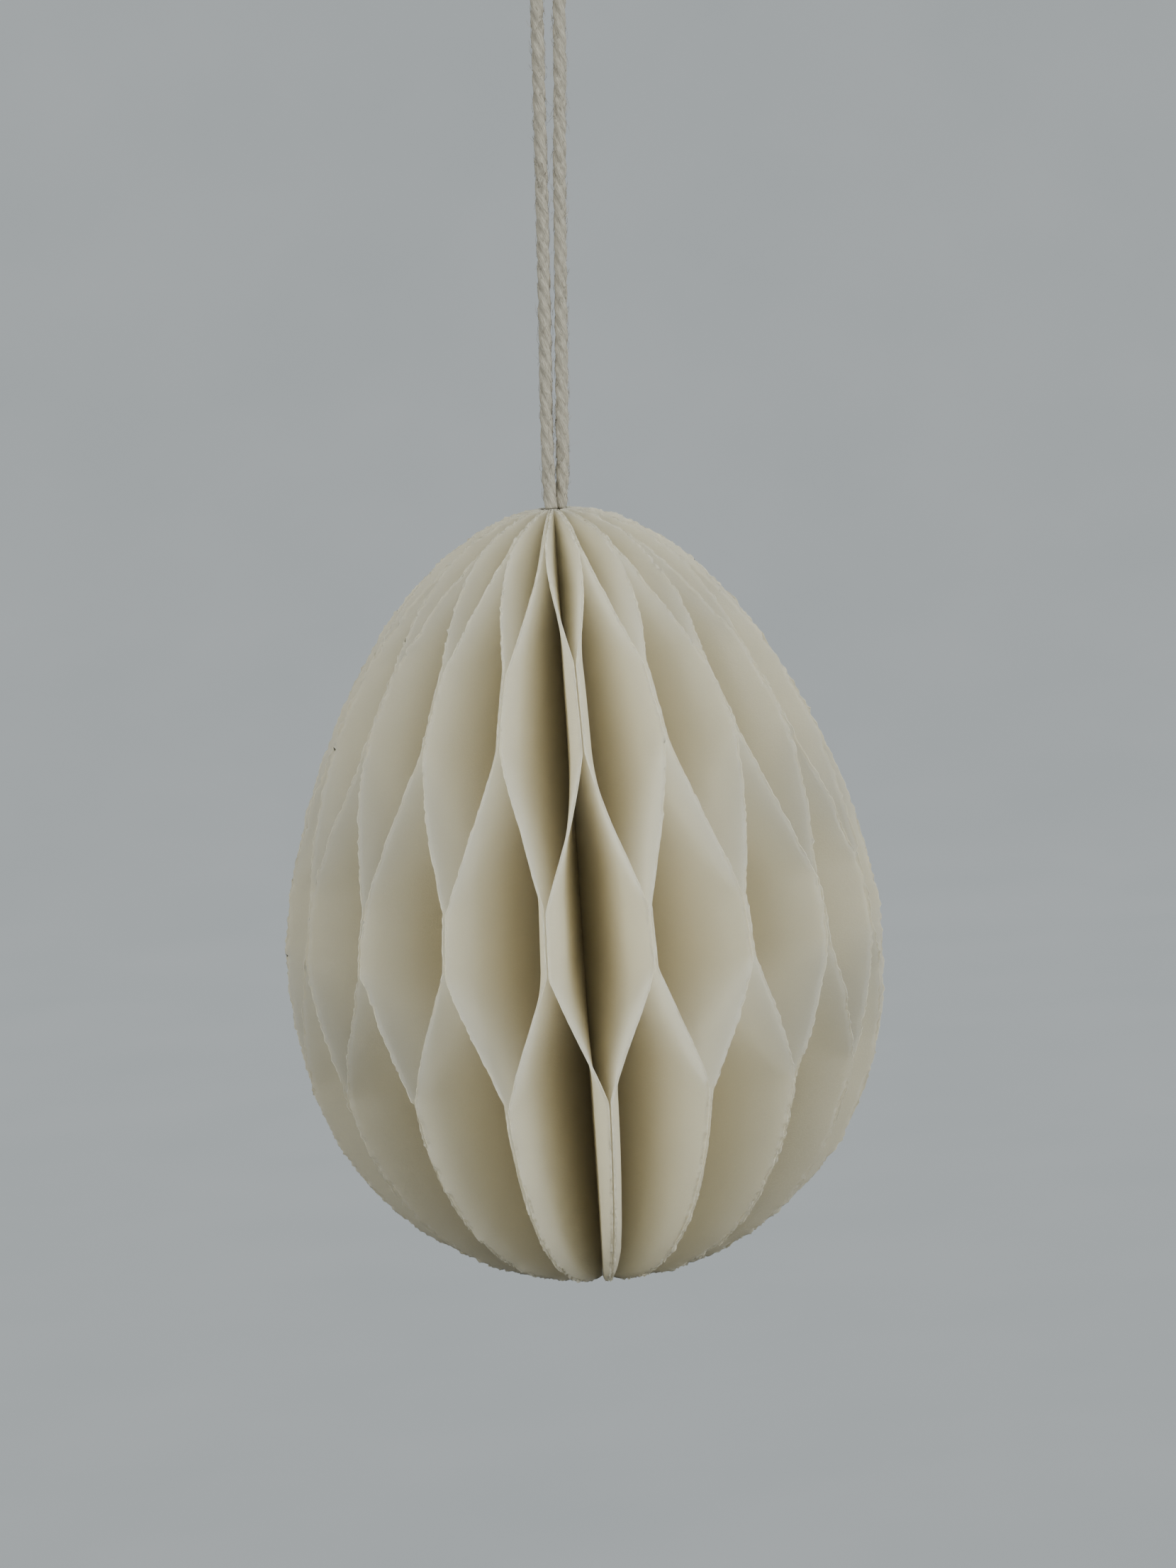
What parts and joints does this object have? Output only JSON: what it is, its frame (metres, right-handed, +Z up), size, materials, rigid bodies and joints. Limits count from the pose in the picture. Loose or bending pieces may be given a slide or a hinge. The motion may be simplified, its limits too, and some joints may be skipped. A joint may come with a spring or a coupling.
{
  "type": "paper honeycomb egg ornament",
  "caption": "Egg-shaped hanging ornament of alternately glued half-egg paper leaves round a spine, with magnets that close it and a twisted cotton cord loop.",
  "frame": {"origin": "where a hook carries the hanging loop, at the inside of the loop's top bend", "axes": "+Z up along the spine of the egg, +X to the right and +Y to the back as it hangs with its seam behind"},
  "size_m": [0.0924, 0.0924, 0.2269],
  "materials": {
    "cotton_paper": "matte",
    "cover_paper": "matte",
    "magnet": "satin",
    "cotton_cord": "matte"
  },
  "bodies": {
    "hanging_cord": {"hanging_cord": "cotton_cord"},
    "leaf_01": {"leaf_01": "cotton_paper", "leaf_magnet_upper": "magnet", "leaf_magnet_lower": "magnet", "cord_tails": "cotton_cord"},
    "leaf_02": {"leaf_02": "cotton_paper"},
    "leaf_03": {"leaf_03": "cotton_paper"},
    "leaf_04": {"leaf_04": "cotton_paper"},
    "leaf_05": {"leaf_05": "cotton_paper"},
    "leaf_06": {"leaf_06": "cotton_paper"},
    "leaf_07": {"leaf_07": "cotton_paper"},
    "leaf_08": {"leaf_08": "cotton_paper"},
    "leaf_09": {"leaf_09": "cotton_paper"},
    "leaf_10": {"leaf_10": "cotton_paper"},
    "leaf_11": {"leaf_11": "cotton_paper"},
    "leaf_12": {"leaf_12": "cotton_paper"},
    "leaf_13": {"leaf_13": "cotton_paper"},
    "leaf_14": {"leaf_14": "cotton_paper"},
    "leaf_15": {"leaf_15": "cotton_paper"},
    "leaf_16": {"leaf_16": "cotton_paper"},
    "leaf_17": {"leaf_17": "cotton_paper"},
    "leaf_18": {"leaf_18": "cotton_paper"},
    "leaf_19": {"leaf_19": "cotton_paper"},
    "leaf_20": {"leaf_20": "cotton_paper"},
    "leaf_21": {"leaf_21": "cotton_paper"},
    "leaf_22": {"leaf_22": "cotton_paper"},
    "leaf_23": {"leaf_23": "cotton_paper"},
    "leaf_24": {"leaf_24": "cotton_paper"},
    "leaf_25": {"leaf_25": "cotton_paper"},
    "leaf_26": {"leaf_26": "cotton_paper"},
    "leaf_27": {"leaf_27": "cotton_paper"},
    "leaf_28": {"leaf_28": "cotton_paper"},
    "leaf_29": {"leaf_29": "cotton_paper"},
    "leaf_30": {"leaf_30": "cotton_paper"},
    "leaf_31": {"leaf_31": "cotton_paper"},
    "leaf_32": {"leaf_32": "cotton_paper"},
    "leaf_33": {"leaf_33": "cotton_paper"},
    "leaf_34": {"leaf_34": "cotton_paper"},
    "leaf_35": {"leaf_35": "cotton_paper"},
    "leaf_36": {"leaf_36": "cotton_paper"},
    "end_cover": {"end_cover": "cover_paper", "cover_magnet_upper": "magnet", "cover_magnet_lower": "magnet"}
  },
  "joints": [
    {"name": "ball_turn", "type": "hinge", "parent": "hanging_cord", "child": "leaf_01", "pos_m": [-0.0052, 0, -0.105], "axis": [0, 0, 1], "range_deg": [-180, 180]},
    {"name": "fold", "type": "hinge", "parent": "leaf_01", "child": "leaf_02", "pos_m": [-0.00368, 0.00207, -0.165], "axis": [0, 0, 1], "range_deg": [-9.8, 0]},
    {"name": "fold_leaf_03", "type": "hinge", "parent": "leaf_02", "child": "leaf_03", "pos_m": [-0.00403, 0.00228, -0.165], "axis": [0, 0, 1], "range_deg": [-9.8, 0]},
    {"name": "fold_leaf_04", "type": "hinge", "parent": "leaf_03", "child": "leaf_04", "pos_m": [-0.00441, 0.00244, -0.165], "axis": [0, 0, 1], "range_deg": [-9.8, 0]},
    {"name": "fold_leaf_05", "type": "hinge", "parent": "leaf_04", "child": "leaf_05", "pos_m": [-0.0048, 0.00253, -0.165], "axis": [0, 0, 1], "range_deg": [-9.8, 0]},
    {"name": "fold_leaf_06", "type": "hinge", "parent": "leaf_05", "child": "leaf_06", "pos_m": [-0.00521, 0.00257, -0.165], "axis": [0, 0, 1], "range_deg": [-9.8, 0]},
    {"name": "fold_leaf_07", "type": "hinge", "parent": "leaf_06", "child": "leaf_07", "pos_m": [-0.00562, 0.00253, -0.165], "axis": [0, 0, 1], "range_deg": [-9.8, 0]},
    {"name": "fold_leaf_08", "type": "hinge", "parent": "leaf_07", "child": "leaf_08", "pos_m": [-0.00601, 0.00243, -0.165], "axis": [0, 0, 1], "range_deg": [-9.8, 0]},
    {"name": "fold_leaf_09", "type": "hinge", "parent": "leaf_08", "child": "leaf_09", "pos_m": [-0.00639, 0.00227, -0.165], "axis": [0, 0, 1], "range_deg": [-9.8, 0]},
    {"name": "fold_leaf_10", "type": "hinge", "parent": "leaf_09", "child": "leaf_10", "pos_m": [-0.00673, 0.00206, -0.165], "axis": [0, 0, 1], "range_deg": [-9.8, 0]},
    {"name": "fold_leaf_11", "type": "hinge", "parent": "leaf_10", "child": "leaf_11", "pos_m": [-0.00704, 0.00179, -0.165], "axis": [0, 0, 1], "range_deg": [-9.8, 0]},
    {"name": "fold_leaf_12", "type": "hinge", "parent": "leaf_11", "child": "leaf_12", "pos_m": [-0.0073, 0.00147, -0.165], "axis": [0, 0, 1], "range_deg": [-9.8, 0]},
    {"name": "fold_leaf_13", "type": "hinge", "parent": "leaf_12", "child": "leaf_13", "pos_m": [-0.00751, 0.00112, -0.165], "axis": [0, 0, 1], "range_deg": [-9.8, 0]},
    {"name": "fold_leaf_14", "type": "hinge", "parent": "leaf_13", "child": "leaf_14", "pos_m": [-0.00766, 0.00074, -0.165], "axis": [0, 0, 1], "range_deg": [-9.8, 0]},
    {"name": "fold_leaf_15", "type": "hinge", "parent": "leaf_14", "child": "leaf_15", "pos_m": [-0.00774, 0.00034, -0.165], "axis": [0, 0, 1], "range_deg": [-9.8, 0]},
    {"name": "fold_leaf_16", "type": "hinge", "parent": "leaf_15", "child": "leaf_16", "pos_m": [-0.00776, -0.00006, -0.165], "axis": [0, 0, 1], "range_deg": [-9.8, 0]},
    {"name": "fold_leaf_17", "type": "hinge", "parent": "leaf_16", "child": "leaf_17", "pos_m": [-0.00772, -0.00047, -0.165], "axis": [0, 0, 1], "range_deg": [-9.8, 0]},
    {"name": "fold_leaf_18", "type": "hinge", "parent": "leaf_17", "child": "leaf_18", "pos_m": [-0.00762, -0.00086, -0.165], "axis": [0, 0, 1], "range_deg": [-9.8, 0]},
    {"name": "fold_leaf_19", "type": "hinge", "parent": "leaf_18", "child": "leaf_19", "pos_m": [-0.00745, -0.00123, -0.165], "axis": [0, 0, 1], "range_deg": [-9.8, 0]},
    {"name": "fold_leaf_20", "type": "hinge", "parent": "leaf_19", "child": "leaf_20", "pos_m": [-0.00723, -0.00157, -0.165], "axis": [0, 0, 1], "range_deg": [-9.8, 0]},
    {"name": "fold_leaf_21", "type": "hinge", "parent": "leaf_20", "child": "leaf_21", "pos_m": [-0.00695, -0.00188, -0.165], "axis": [0, 0, 1], "range_deg": [-9.8, 0]},
    {"name": "fold_leaf_22", "type": "hinge", "parent": "leaf_21", "child": "leaf_22", "pos_m": [-0.00663, -0.00213, -0.165], "axis": [0, 0, 1], "range_deg": [-9.8, 0]},
    {"name": "fold_leaf_23", "type": "hinge", "parent": "leaf_22", "child": "leaf_23", "pos_m": [-0.00628, -0.00233, -0.165], "axis": [0, 0, 1], "range_deg": [-9.8, 0]},
    {"name": "fold_leaf_24", "type": "hinge", "parent": "leaf_23", "child": "leaf_24", "pos_m": [-0.00589, -0.00247, -0.165], "axis": [0, 0, 1], "range_deg": [-9.8, 0]},
    {"name": "fold_leaf_25", "type": "hinge", "parent": "leaf_24", "child": "leaf_25", "pos_m": [-0.00549, -0.00255, -0.165], "axis": [0, 0, 1], "range_deg": [-9.8, 0]},
    {"name": "fold_leaf_26", "type": "hinge", "parent": "leaf_25", "child": "leaf_26", "pos_m": [-0.00509, -0.00256, -0.165], "axis": [0, 0, 1], "range_deg": [-9.8, 0]},
    {"name": "fold_leaf_27", "type": "hinge", "parent": "leaf_26", "child": "leaf_27", "pos_m": [-0.00468, -0.00251, -0.165], "axis": [0, 0, 1], "range_deg": [-9.8, 0]},
    {"name": "fold_leaf_28", "type": "hinge", "parent": "leaf_27", "child": "leaf_28", "pos_m": [-0.00429, -0.0024, -0.165], "axis": [0, 0, 1], "range_deg": [-9.8, 0]},
    {"name": "fold_leaf_29", "type": "hinge", "parent": "leaf_28", "child": "leaf_29", "pos_m": [-0.00392, -0.00222, -0.165], "axis": [0, 0, 1], "range_deg": [-9.8, 0]},
    {"name": "fold_leaf_30", "type": "hinge", "parent": "leaf_29", "child": "leaf_30", "pos_m": [-0.00358, -0.00199, -0.165], "axis": [0, 0, 1], "range_deg": [-9.8, 0]},
    {"name": "fold_leaf_31", "type": "hinge", "parent": "leaf_30", "child": "leaf_31", "pos_m": [-0.00329, -0.00171, -0.165], "axis": [0, 0, 1], "range_deg": [-9.8, 0]},
    {"name": "fold_leaf_32", "type": "hinge", "parent": "leaf_31", "child": "leaf_32", "pos_m": [-0.00304, -0.00139, -0.165], "axis": [0, 0, 1], "range_deg": [-9.8, 0]},
    {"name": "fold_leaf_33", "type": "hinge", "parent": "leaf_32", "child": "leaf_33", "pos_m": [-0.00285, -0.00103, -0.165], "axis": [0, 0, 1], "range_deg": [-9.8, 0]},
    {"name": "fold_leaf_34", "type": "hinge", "parent": "leaf_33", "child": "leaf_34", "pos_m": [-0.00272, -0.00064, -0.165], "axis": [0, 0, 1], "range_deg": [-9.8, 0]},
    {"name": "fold_leaf_35", "type": "hinge", "parent": "leaf_34", "child": "leaf_35", "pos_m": [-0.00265, -0.00024, -0.165], "axis": [0, 0, 1], "range_deg": [-9.8, 0]},
    {"name": "fold_leaf_36", "type": "hinge", "parent": "leaf_35", "child": "leaf_36", "pos_m": [-0.00264, 0.00017, -0.165], "axis": [0, 0, 1], "range_deg": [-9.8, 0]},
    {"name": "fold_end_cover", "type": "hinge", "parent": "leaf_36", "child": "end_cover", "pos_m": [-0.0027, 0.00057, -0.165], "axis": [0, 0, 1], "range_deg": [-9.8, 0]}
  ],
  "couplings": [
    {"joint": "fold_leaf_03", "follows": "fold", "ratio": 1},
    {"joint": "fold_leaf_04", "follows": "fold", "ratio": 1},
    {"joint": "fold_leaf_05", "follows": "fold", "ratio": 1},
    {"joint": "fold_leaf_06", "follows": "fold", "ratio": 1},
    {"joint": "fold_leaf_07", "follows": "fold", "ratio": 1},
    {"joint": "fold_leaf_08", "follows": "fold", "ratio": 1},
    {"joint": "fold_leaf_09", "follows": "fold", "ratio": 1},
    {"joint": "fold_leaf_10", "follows": "fold", "ratio": 1},
    {"joint": "fold_leaf_11", "follows": "fold", "ratio": 1},
    {"joint": "fold_leaf_12", "follows": "fold", "ratio": 1},
    {"joint": "fold_leaf_13", "follows": "fold", "ratio": 1},
    {"joint": "fold_leaf_14", "follows": "fold", "ratio": 1},
    {"joint": "fold_leaf_15", "follows": "fold", "ratio": 1},
    {"joint": "fold_leaf_16", "follows": "fold", "ratio": 1},
    {"joint": "fold_leaf_17", "follows": "fold", "ratio": 1},
    {"joint": "fold_leaf_18", "follows": "fold", "ratio": 1},
    {"joint": "fold_leaf_19", "follows": "fold", "ratio": 1},
    {"joint": "fold_leaf_20", "follows": "fold", "ratio": 1},
    {"joint": "fold_leaf_21", "follows": "fold", "ratio": 1},
    {"joint": "fold_leaf_22", "follows": "fold", "ratio": 1},
    {"joint": "fold_leaf_23", "follows": "fold", "ratio": 1},
    {"joint": "fold_leaf_24", "follows": "fold", "ratio": 1},
    {"joint": "fold_leaf_25", "follows": "fold", "ratio": 1},
    {"joint": "fold_leaf_26", "follows": "fold", "ratio": 1},
    {"joint": "fold_leaf_27", "follows": "fold", "ratio": 1},
    {"joint": "fold_leaf_28", "follows": "fold", "ratio": 1},
    {"joint": "fold_leaf_29", "follows": "fold", "ratio": 1},
    {"joint": "fold_leaf_30", "follows": "fold", "ratio": 1},
    {"joint": "fold_leaf_31", "follows": "fold", "ratio": 1},
    {"joint": "fold_leaf_32", "follows": "fold", "ratio": 1},
    {"joint": "fold_leaf_33", "follows": "fold", "ratio": 1},
    {"joint": "fold_leaf_34", "follows": "fold", "ratio": 1},
    {"joint": "fold_leaf_35", "follows": "fold", "ratio": 1},
    {"joint": "fold_leaf_36", "follows": "fold", "ratio": 1},
    {"joint": "fold_end_cover", "follows": "fold", "ratio": 1}
  ]
}
